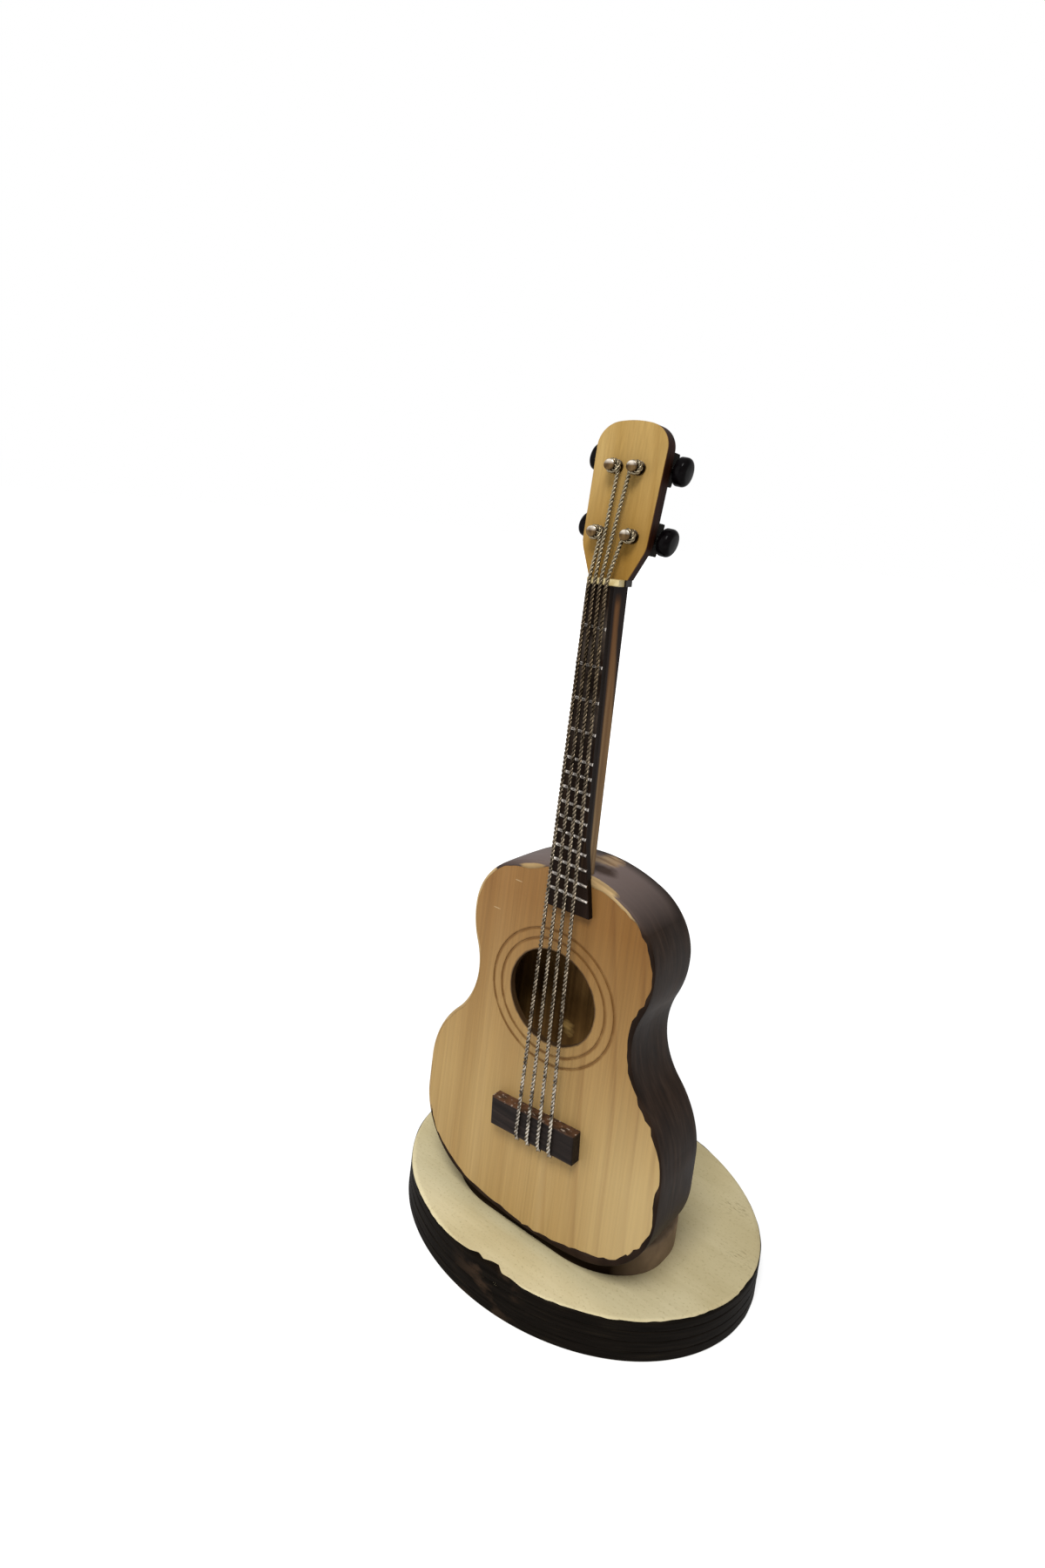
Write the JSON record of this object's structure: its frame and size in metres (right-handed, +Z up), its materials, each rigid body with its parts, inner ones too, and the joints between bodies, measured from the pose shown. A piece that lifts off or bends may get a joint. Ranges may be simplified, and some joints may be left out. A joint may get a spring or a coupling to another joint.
{
  "type": "miniature guitar on stand",
  "caption": "Miniature acoustic guitar with a pale soundboard, dark sides, wire strings and turning tuner knobs, fixed upright in a cradle on a round wooden base.",
  "frame": {"origin": "centre of the underside of the round base", "axes": "+Z up along the guitar, the soundboard faces -Y, +X to the right seen from the front"},
  "size_m": [0.12, 0.12, 0.2766],
  "materials": {
    "stand_board": "bare pale wood with a dark painted edge",
    "cradle_paint": "dark brown satin paint",
    "steel_screw": "zinc plated",
    "soundboard_pine": "clear matt varnish on pine",
    "side_paint": "dark satin paint",
    "back_paint": "dark satin paint",
    "block_wood": "bare wood",
    "neck_stain": "brown stain",
    "board_wood": "dark stain",
    "fret_metal": "bright",
    "nut_cream": "satin",
    "head_pine": "clear matt varnish on pine with a dark painted edge",
    "bridge_wood": "dark stain, worn on top",
    "string_wire": "bright twisted wire",
    "post_metal": "polished",
    "tuner_block_wood": "dark satin paint",
    "shaft_steel": "plain",
    "knob_plastic": "glossy"
  },
  "bodies": {
    "guitar": {"base_disc": "stand_board", "cradle_block": "cradle_paint", "stand_screws": "steel_screw", "soundboard": "soundboard_pine", "rib_left": "side_paint", "rib_right": "side_paint", "back_plate": "back_paint", "tail_block": "block_wood", "neck_block": "block_wood", "neck": "neck_stain", "fretboard": "board_wood", "frets": "fret_metal", "nut": "nut_cream", "headstock": "head_pine", "bridge": "bridge_wood", "string_1": "string_wire", "string_2": "string_wire", "string_3": "string_wire", "string_4": "string_wire", "string_post_upper_left": "post_metal", "tuner_block_upper_left": "tuner_block_wood", "string_post_upper_right": "post_metal", "tuner_block_upper_right": "tuner_block_wood", "string_post_lower_left": "post_metal", "tuner_block_lower_left": "tuner_block_wood", "string_post_lower_right": "post_metal", "tuner_block_lower_right": "tuner_block_wood"},
    "tuner_upper_left": {"tuner_knob_upper_left": "knob_plastic", "tuner_shaft_upper_left": "shaft_steel"},
    "tuner_upper_right": {"tuner_knob_upper_right": "knob_plastic", "tuner_shaft_upper_right": "shaft_steel"},
    "tuner_lower_left": {"tuner_knob_lower_left": "knob_plastic", "tuner_shaft_lower_left": "shaft_steel"},
    "tuner_lower_right": {"tuner_knob_lower_right": "knob_plastic", "tuner_shaft_lower_right": "shaft_steel"}
  },
  "joints": [
    {"name": "turn_upper_left", "type": "hinge", "parent": "guitar", "child": "tuner_upper_left", "pos_m": [-0.00866, -0.03037, 0.26563], "axis": [-0.9928, 0.0082, 0.1198], "continuous": true},
    {"name": "turn_upper_right", "type": "hinge", "parent": "guitar", "child": "tuner_upper_right", "pos_m": [0.01352, -0.03055, 0.26295], "axis": [0.9928, -0.0082, -0.1198], "continuous": true},
    {"name": "turn_lower_left", "type": "hinge", "parent": "guitar", "child": "tuner_lower_left", "pos_m": [-0.00836, -0.03201, 0.24472], "axis": [-0.9928, 0.0082, 0.1198], "continuous": true},
    {"name": "turn_lower_right", "type": "hinge", "parent": "guitar", "child": "tuner_lower_right", "pos_m": [0.01257, -0.03219, 0.24219], "axis": [0.9928, -0.0082, -0.1198], "continuous": true}
  ]
}
